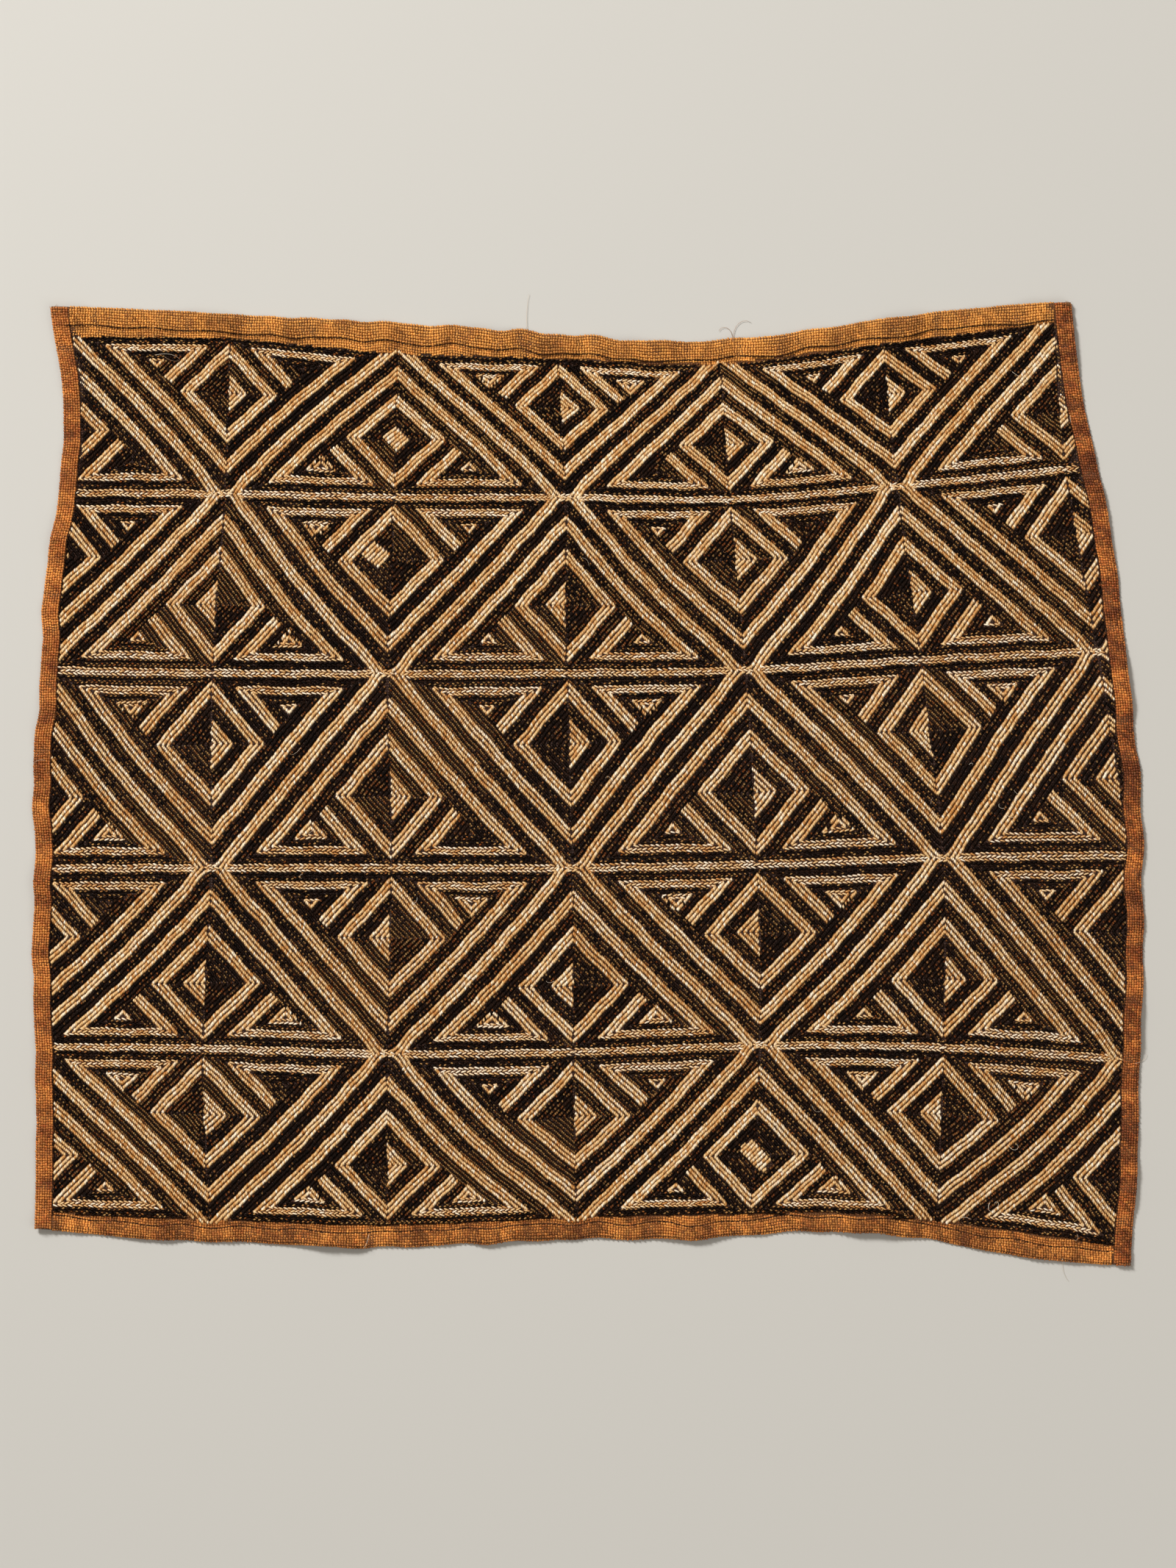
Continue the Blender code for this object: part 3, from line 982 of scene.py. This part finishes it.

# %% [markdown]
# ## Loose fibres
#
# Raffia frays. Fine pale fibres stand out from the rim and lie curled on the face, and the corners of
# the hem end in small tufts. The ones that the eye meets first are listed: where they start,
# which way they go, how long they are and how far they curl. A few dozen finer ones are scattered. Each
# is a three-sided tube along a curling path, and all of them are one piece.

# %% Loose fibres
FIBRE_COLUMNS = ("x", "y", "way", "long", "curl", "thick")
FIBRE_ROWS = (
    (-33.0, 244.0, 92.0, 19.0, -14.0, 0.26),
    (77.5, 237.0, 84.0, 14.0, 150.0, 0.3),
    (78.5, 236.0, 98.0, 19.0, -120.0, 0.26),
    (226.0, -195.0, -60.0, 9.0, 200.0, 0.3),
    (216.0, -226.0, -120.0, 8.0, 190.0, 0.34),
    (219.0, -229.0, 30.0, 7.0, 260.0, 0.3),
    (206.0, -235.0, 150.0, 6.0, 60.0, 0.34),
    (207.0, -237.5, 200.0, 7.0, -80.0, 0.3),
    (263.0, -243.0, -70.0, 5.0, -150.0, 0.34),
    (240.0, 211.0, 25.0, 7.0, 90.0, 0.34),
    (242.0, 213.0, 60.0, 6.0, -130.0, 0.3),
    (228.0, 221.0, -40.0, 9.0, 50.0, 0.24),
    (-233.0, 230.0, 10.0, 14.0, -50.0, 0.22),
    (-228.0, 229.0, -35.0, 9.0, 60.0, 0.22),
    (294.0, -151.0, 8.0, 9.0, 70.0, 0.24),
    (255.0, -256.0, -88.0, 13.0, 35.0, 0.24),
    (-118.0, -243.0, -100.0, 10.0, -40.0, 0.22),
    (-292.0, 12.0, 172.0, 7.0, 60.0, 0.22),
)
TUFT_LONG = 2.2
FIBRE_STEPS = 9
SCATTERED_FIBRES = 46
FIBRE_SEED = 52


def tuft_rows(chance):
    """Short fibres fanning out from each corner of the cloth."""
    rows = []
    for (x, y), way in zip(CORNERS.values(), (110.0, 70.0, 235.0, -60.0)):
        for _ in range(9):
            rows.append((x * 0.993 + chance.uniform(-2.0, 2.0), y * 0.994 + chance.uniform(-0.5, 0.5),
                         way + chance.uniform(-55, 55), TUFT_LONG * chance.uniform(0.8, 1.3),
                         chance.uniform(-90, 90), 0.26))
    return rows


def scattered_rows(chance):
    """Fine short fibres lying about on the embroidered face."""
    rows = []
    for _ in range(SCATTERED_FIBRES):
        rows.append((chance.uniform(-265, 265), chance.uniform(-225, 225), chance.uniform(0, 360),
                     chance.uniform(2.5, 8.0), chance.uniform(-200, 200), chance.uniform(0.16, 0.26)))
    return rows


def fibre_path(x, y, way, long, curl):
    """Points along a fibre that curls more and more, in millimetres. Off the cloth it sinks to the floor."""
    share = np.linspace(0, 1, FIBRE_STEPS)
    heading = np.radians(way + curl * share * share)
    step = long / (FIBRE_STEPS - 1)
    xs = x + np.concatenate([[0], np.cumsum(np.cos(heading[1:]) * step)])
    ys = y + np.concatenate([[0], np.cumsum(np.sin(heading[1:]) * step)])
    gaps = from_edges(xs, ys)
    inside = smooth_step(0.5 + 0.5 * np.minimum.reduce(list(gaps.values())))
    on_cloth = rim_lift(xs, ys) + HEM_HIGH + 0.5 + 0.9 * np.sin(np.pi * share)
    return np.column_stack([xs + cloth_shift[0], ys + cloth_shift[1], 0.4 + (on_cloth - 0.4) * inside])


def fibre_tube(path, thick):
    """A three-sided tube along a path, thinner towards its end, closed by one face at each end."""
    ahead = np.gradient(path[:, :2], axis=0)
    aside = np.column_stack([-ahead[:, 1], ahead[:, 0]]) / np.linalg.norm(ahead, axis=1)[:, None]
    radius = thick / 2 * np.linspace(1.0, 0.55, len(path))[:, None]
    rings = []
    for turn in np.radians((90, 210, 330)):
        ring = path.copy()
        ring[:, :2] += aside * radius * math.cos(turn)
        ring[:, 2:] += radius * math.sin(turn)
        rings.append(ring)
    points = np.stack(rings, axis=1).reshape(-1, 3)
    faces = []
    for step in range(len(path) - 1):
        for side in range(3):
            a, b = 3 * step + side, 3 * step + (side + 1) % 3
            faces += [(a, b, b + 3), (a, b + 3, a + 3)]
    last = 3 * (len(path) - 1)
    return points, faces + [(0, 2, 1), (last, last + 1, last + 2)]


def make_fibres():
    chance = random.Random(FIBRE_SEED)
    rows = list(FIBRE_ROWS) + tuft_rows(chance) + scattered_rows(chance)
    all_points, all_faces, seeds = [], [], []
    for row in rows:
        fibre = dict(zip(FIBRE_COLUMNS, row))
        thick = fibre.pop("thick")
        points, faces = fibre_tube(fibre_path(**fibre), thick)
        all_faces.append(np.array(faces) + sum(len(part) for part in all_points))
        all_points.append(points)
        seeds += [chance.random() if fibre["long"] > 1.4 * TUFT_LONG else 0.0] * len(points)
    points, faces = np.vstack(all_points), np.vstack(all_faces)
    mesh = bpy.data.meshes.new("loose_fibres")
    mesh.from_pydata((points * MM).tolist(), [], faces.tolist())
    mesh.shade_smooth()
    mesh.attributes.new("fibre", "FLOAT", "POINT").data.foreach_set("value", seeds)
    flat_map = (points[:, :2] - points[:, :2].min(axis=0)) / np.ptp(points[:, :2], axis=0)
    mesh.uv_layers.new(name="OFBake").data.foreach_set("uv", flat_map[faces.ravel()].ravel())
    piece = bpy.data.objects.new("loose_fibres", mesh)
    bpy.context.collection.objects.link(piece)
    return piece


loose_fibres = make_fibres()
print("loose fibres:", len(loose_fibres.data.polygons), "faces")

# %% [markdown]
# ## Materials
#
# Raffia is a dry leaf fibre, split fine: it is matt with a faint silky sheen along its length, and no
# two strands take the dye alike. One function turns hex colours into linear ones, and one adds a node
# with its settings and links. Each material reads the attributes that the grains carry.

# %% Colours and nodes
def linear(hex_colour):
    """An sRGB hex colour as linear RGBA."""
    parts = [int(hex_colour[i:i + 2], 16) / 255 for i in (1, 3, 5)]
    return tuple(c / 12.92 if c <= 0.04045 else ((c + 0.055) / 1.055) ** 2.4 for c in parts) + (1.0,)


def add_node(tree, kind, settings=None, links=None):
    """A new node. settings names its inputs or properties, and links gives what feeds each input."""
    node = tree.nodes.new(kind)
    for name, value in (settings or {}).items():
        if isinstance(name, str) and hasattr(node, name):
            setattr(node, name, value)
        else:
            node.inputs[name].default_value = value
    for name, source in (links or {}).items():
        tree.links.new(source, node.inputs[name])
    return node


def new_material(name, roughness):
    material = bpy.data.materials.new(name)
    material.use_nodes = True
    shader = material.node_tree.nodes["Principled BSDF"]
    shader.inputs["Roughness"].default_value = roughness
    shader.inputs["Metallic"].default_value = 0.0
    return material, material.node_tree, shader


# %% [markdown]
# Dyed or left plain, a strand shows fine streaks along its length, and its shade changes from strand to
# strand. At the end of each grain a bead of the ground cloth may show between this stitch and the next,
# drawn here as a small oval. The streaks are real in scale: about twelve fibres across a strand.

# %% Thread material
def thread_material(name, dark, mid, pale, painted_side_shade, dot_dark, dot_pale, roughness, specular):
    """Split raffia as sewn: strand shade, streaks along the strand, painted shade at its sides and tips, and a bead of
    ground cloth at its end.
    """
    material, tree, shader = new_material(name, roughness)
    shader.inputs["Specular IOR Level"].default_value = specular
    thread = add_node(tree, "ShaderNodeAttribute", {"attribute_name": "thread"})
    tone = add_node(tree, "ShaderNodeAttribute", {"attribute_name": "tone"})
    shares = add_node(tree, "ShaderNodeSeparateColor", links={"Color": tone.outputs["Color"]})
    place = add_node(tree, "ShaderNodeSeparateXYZ", links={"Vector": thread.outputs["Vector"]})

    shade = add_node(tree, "ShaderNodeValToRGB", links={"Fac": shares.outputs["Red"]})
    ramp = shade.color_ramp
    ramp.elements[0].color = linear(dark)
    ramp.elements[1].color = linear(pale)
    ramp.elements.new(0.5).color = linear(mid)

    stretched = add_node(tree, "ShaderNodeMapping", {"Scale": (1.6, 12.0, 97.0)},
                         {"Vector": thread.outputs["Vector"]})
    streaks = add_node(tree, "ShaderNodeTexNoise", {"Scale": 1.0, "Detail": 2.0},
                       {"Vector": stretched.outputs["Vector"]})
    streak_shade = add_node(tree, "ShaderNodeMapRange", {"To Min": 0.72, "To Max": 1.28},
                            {"Value": streaks.outputs["Fac"]})
    streaked = add_node(tree, "ShaderNodeVectorMath", {"operation": "SCALE"},
                        {0: shade.outputs["Color"], "Scale": streak_shade.outputs["Result"]})

    # How far from the strand's middle line and middle, 0.5 at its sides and tips. There a darker, warmer colour is
    # painted on the strand: painted shade in the grooves at its sides and ends
    outward = []
    for axis in ("X", "Y"):
        from_middle = add_node(tree, "ShaderNodeMath", {"operation": "SUBTRACT", 1: 0.5},
                               {0: place.outputs[axis]})
        outward.append(add_node(tree, "ShaderNodeMath", {"operation": "ABSOLUTE"},
                                {0: from_middle.outputs[0]}))
    farther = add_node(tree, "ShaderNodeMath", {"operation": "MAXIMUM"},
                       {0: outward[0].outputs[0], 1: outward[1].outputs[0]})
    painted_side_share = add_node(tree, "ShaderNodeMapRange", {"From Min": 0.15, "From Max": 0.5, "To Max": 0.85},
                       {"Value": farther.outputs[0]})
    strand = add_node(tree, "ShaderNodeMix", {"data_type": "RGBA"},
                      {0: painted_side_share.outputs["Result"], 6: streaked.outputs["Vector"]})
    strand.inputs[7].default_value = linear(painted_side_shade)

    along = add_node(tree, "ShaderNodeMapRange", {"From Min": 0.47, "From Max": 0.93, "To Min": -1.0,
                                                  "clamp": False}, {"Value": place.outputs["X"]})
    across = add_node(tree, "ShaderNodeMapRange", {"From Min": 0.1, "From Max": 0.9, "To Min": -1.0,
                                                   "clamp": False}, {"Value": place.outputs["Y"]})
    spot = add_node(tree, "ShaderNodeCombineXYZ",
                    links={"X": along.outputs["Result"], "Y": across.outputs["Result"]})
    reach = add_node(tree, "ShaderNodeVectorMath", {"operation": "LENGTH"}, {0: spot.outputs["Vector"]})
    oval = add_node(tree, "ShaderNodeMapRange", {"From Min": 0.9, "From Max": 0.65},
                    {"Value": reach.outputs["Value"]})
    dot = add_node(tree, "ShaderNodeMath", {"operation": "MULTIPLY"},
                   {0: oval.outputs["Result"], 1: shares.outputs["Green"]})
    dot_shade = add_node(tree, "ShaderNodeMix", {"data_type": "RGBA"}, {0: shares.outputs["Blue"]})
    dot_shade.inputs[6].default_value = linear(dot_dark)
    dot_shade.inputs[7].default_value = linear(dot_pale)
    colour = add_node(tree, "ShaderNodeMix", {"data_type": "RGBA"},
                      {0: dot.outputs[0], 6: strand.outputs[2], 7: dot_shade.outputs[2]})
    tree.links.new(colour.outputs[2], shader.inputs["Base Color"])

    bump = add_node(tree, "ShaderNodeBump", {"Strength": 0.35, "Distance": 0.0002},
                    {"Height": streaks.outputs["Fac"]})
    tree.links.new(bump.outputs["Normal"], shader.inputs["Normal"])
    return material


straw_raffia = thread_material(
    "natural_raffia_thread", dark="#c88c46", mid="#ebc68a", pale="#fff2d6", painted_side_shade="#a85a1a",
    dot_dark="#a2531f", dot_pale="#d29a50", roughness=0.45, specular=0.5)
black_raffia = thread_material(
    "black_dyed_raffia_thread", dark="#0c0603", mid="#180d07", pale="#2c190d", painted_side_shade="#180d07",
    dot_dark="#a45420", dot_pale="#dcab68", roughness=0.6, specular=0.08)
# The sewing stitches are real, but their dark brown is painted shadow of the hems' creases
sewing_and_crease_shadow = thread_material(
    "sewing_thread_with_painted_crease_shadow", dark="#1c0e06", mid="#331a0b", pale="#5a3217", painted_side_shade="#331a0b",
    dot_dark="#a8622a", dot_pale="#ecd3a2", roughness=0.6, specular=0.15)

# %% [markdown]
# The ground threads of the hem took the golden dye unevenly, and each hem has its own tint: bright gold at
# the top, darker and rustier on the right. Bands of painted shade cross the hems where their folds pucker.
# The same attributes drive it, with the tint for light and dark and the gold share for gold against rust.

# %% Hem and ground materials
def hem_material():
    """Plain-woven raffia dyed golden brown: gold and rust threads, each with streaks along it. The tint and gold share
    also carry painted shade of the hem's folds.
    """
    material, tree, shader = new_material("golden_dyed_raffia_weave", 0.58)
    shader.inputs["Specular IOR Level"].default_value = 0.35
    thread = add_node(tree, "ShaderNodeAttribute", {"attribute_name": "thread"})
    tone = add_node(tree, "ShaderNodeAttribute", {"attribute_name": "tone"})
    shares = add_node(tree, "ShaderNodeSeparateColor", links={"Color": tone.outputs["Color"]})
    dye = add_node(tree, "ShaderNodeMix", {"data_type": "RGBA"}, {0: shares.outputs["Blue"]})
    dye.inputs[6].default_value = linear("#a85523")
    dye.inputs[7].default_value = linear("#d39244")
    light = add_node(tree, "ShaderNodeMapRange", {"To Min": 0.42, "To Max": 1.58},
                     {"Value": shares.outputs["Red"]})
    stretched = add_node(tree, "ShaderNodeMapping", {"Scale": (1.2, 10.0, 97.0)},
                         {"Vector": thread.outputs["Vector"]})
    streaks = add_node(tree, "ShaderNodeTexNoise", {"Scale": 1.0, "Detail": 2.0},
                       {"Vector": stretched.outputs["Vector"]})
    streak_shade = add_node(tree, "ShaderNodeMapRange", {"To Min": 0.75, "To Max": 1.25},
                            {"Value": streaks.outputs["Fac"]})
    both = add_node(tree, "ShaderNodeMath", {"operation": "MULTIPLY"},
                    {0: light.outputs["Result"], 1: streak_shade.outputs["Result"]})
    colour = add_node(tree, "ShaderNodeVectorMath", {"operation": "SCALE"},
                      {0: dye.outputs[2], "Scale": both.outputs[0]})
    tree.links.new(colour.outputs["Vector"], shader.inputs["Base Color"])
    bump = add_node(tree, "ShaderNodeBump", {"Strength": 0.35, "Distance": 0.0002},
                    {"Height": streaks.outputs["Fac"]})
    tree.links.new(bump.outputs["Normal"], shader.inputs["Normal"])
    return material


def ground_material(name, dark, pale):
    """The same cloth where no bead is modelled: a plain weave drawn from its real thread steps. Besides the bump, its
    colour is darkened between the crossings as painted shade.
    """
    material, tree, shader = new_material(name, 0.65)
    shader.inputs["Specular IOR Level"].default_value = 0.3
    place = add_node(tree, "ShaderNodeTexCoord")
    parts = add_node(tree, "ShaderNodeSeparateXYZ", links={"Vector": place.outputs["Object"]})
    waves = []
    for axis, step in (("X", THREAD_STEP), ("Y", PICK_STEP)):
        turns = add_node(tree, "ShaderNodeMath", {"operation": "MULTIPLY", 1: math.pi / (step * MM)},
                         {0: parts.outputs[axis]})
        waves.append(add_node(tree, "ShaderNodeMath", {"operation": "SINE"}, {0: turns.outputs[0]}))
    crossing = add_node(tree, "ShaderNodeMath", {"operation": "MULTIPLY"},
                        {0: waves[0].outputs[0], 1: waves[1].outputs[0]})
    bead = add_node(tree, "ShaderNodeMath", {"operation": "ABSOLUTE"}, {0: crossing.outputs[0]})
    patches = add_node(tree, "ShaderNodeTexNoise", {"Scale": 30.0, "Detail": 3.0},
                       {"Vector": place.outputs["Object"]})
    dye = add_node(tree, "ShaderNodeMix", {"data_type": "RGBA"}, {0: patches.outputs["Fac"]})
    dye.inputs[6].default_value = linear(dark)
    dye.inputs[7].default_value = linear(pale)
    # Painted shade: the colour is darker between the crossings
    light = add_node(tree, "ShaderNodeMapRange", {"To Min": 0.4, "To Max": 1.15},
                     {"Value": bead.outputs[0]})
    colour = add_node(tree, "ShaderNodeVectorMath", {"operation": "SCALE"},
                      {0: dye.outputs[2], "Scale": light.outputs["Result"]})
    tree.links.new(colour.outputs["Vector"], shader.inputs["Base Color"])
    bump = add_node(tree, "ShaderNodeBump", {"Strength": 0.8, "Distance": 0.0005},
                    {"Height": bead.outputs[0]})
    tree.links.new(bump.outputs["Normal"], shader.inputs["Normal"])
    return material


golden_weave = hem_material()
for piece in hem_pieces:
    piece.data.materials.append(golden_weave)
ground_cloth.data.materials.append(ground_material("golden_dyed_raffia_ground", "#9c5c2a", "#c58b48"))
# The next two are painted shade: the same weave made darker where it lies under the stitches and between the hem's
# beads
ground_cloth.data.materials.append(ground_material("shaded_raffia_under_the_stitches", "#24120a", "#482611"))
ground_cloth.data.materials.append(ground_material("shaded_raffia_under_the_hem_weave", "#5a3013", "#8c5624"))
hem_sewing.data.materials.append(sewing_and_crease_shadow)


def fibre_material():
    """Single undyed fibres: pale, dry and a little translucent, which a lighter colour stands in for."""
    material, tree, shader = new_material("frayed_raffia_fibre", 0.55)
    seed = add_node(tree, "ShaderNodeAttribute", {"attribute_name": "fibre"})
    shade = add_node(tree, "ShaderNodeMix", {"data_type": "RGBA"}, {0: seed.outputs["Fac"]})
    shade.inputs[6].default_value = linear("#9a6a3c")
    shade.inputs[7].default_value = linear("#efe4cf")
    tree.links.new(shade.outputs[2], shader.inputs["Base Color"])
    return material


loose_fibres.data.materials.append(fibre_material())


def shade_under_threads(cloth):
    """Give the upper faces the second material in the field and the third at the hems: both are painted shade of the
    ground under the stitches and the beads.
    """
    count = len(cloth.data.polygons)
    centres, normals = np.empty(count * 3), np.empty(count * 3)
    cloth.data.polygons.foreach_get("center", centres)
    cloth.data.polygons.foreach_get("normal", normals)
    x, y, _ = centres.reshape(-1, 3).T / MM
    gaps = from_edges(x - cloth_shift[0], y - cloth_shift[1])
    side_gap = np.minimum(gaps["left"], gaps["right"])
    end_gap = np.minimum(gaps["top"], gaps["bottom"])
    field = (side_gap > SIDE_HEM_WIDE + 0.4) & (end_gap > FIELD_FROM_EDGE + 0.3)
    which = np.where(field, 1, 2) * (normals[2::3] > 0.2)
    cloth.data.polygons.foreach_set("material_index", which.astype(int))


shade_under_threads(ground_cloth)
for piece in embroidery:
    piece.data.materials.append(straw_raffia if piece.name.startswith("straw") else black_raffia)

# %% [markdown]
# ## Floor and light
#
# The cloth lies on a plain pale floor. The stitches only read when light rakes over them, so the key
# lamp is large but low, to the upper left, and a weak fill and a pale world keep the shadows soft.

# %% Stage
def add_lamp(name, place, aim, size, power):
    bpy.ops.object.light_add(type="AREA", location=place)
    lamp = bpy.context.object
    lamp.name = name
    lamp.data.size = size
    lamp.data.energy = power
    direction = [a - p for a, p in zip(aim, place)]
    flat = math.hypot(direction[0], direction[1])
    lamp.rotation_euler = (math.atan2(flat, -direction[2]), 0.0, math.atan2(direction[1], direction[0]) - math.pi / 2)


def make_stage():
    deselect_all()
    bpy.ops.mesh.primitive_plane_add(size=8.0, location=(0.0, 0.0, -0.0002))
    floor = bpy.context.object
    floor.name = "floor"
    material, _, shader = new_material("pale_floor", 0.8)
    shader.inputs["Base Color"].default_value = linear("#cbc8c1")
    floor.data.materials.append(material)
    add_lamp("key_lamp", (-2.4, 2.8, 2.8), (0.0, 0.0, 0.0), 1.1, 243.0)
    add_lamp("fill_lamp", (1.4, -1.0, 1.6), (0.0, 0.0, 0.0), 1.4, 9.0)
    world = bpy.data.worlds.new("studio")
    bpy.context.scene.world = world
    world.use_nodes = True
    world.node_tree.nodes["Background"].inputs["Color"].default_value = linear("#ebe4d9")
    world.node_tree.nodes["Background"].inputs["Strength"].default_value = 0.35
    bpy.context.scene.view_settings.view_transform = "Standard"


make_stage()

# %% [markdown]
# ## Put every piece on one body
#
# Cloth has no joints, so every piece rides on the one body. The sheet stands for the imported solid, which is
# hidden. Last, the triangles of all pieces are counted.

# %% Finish
pieces = [ground_cloth, *hem_pieces, *embroidery, hem_sewing, loose_fibres]
for piece in pieces:
    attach(piece, "root")
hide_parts("kuba_cloth")
total_triangles = 0
for piece in pieces:
    piece.data.calc_loop_triangles()
    total_triangles += len(piece.data.loop_triangles)
print(len(pieces), "pieces,", total_triangles, "triangles")
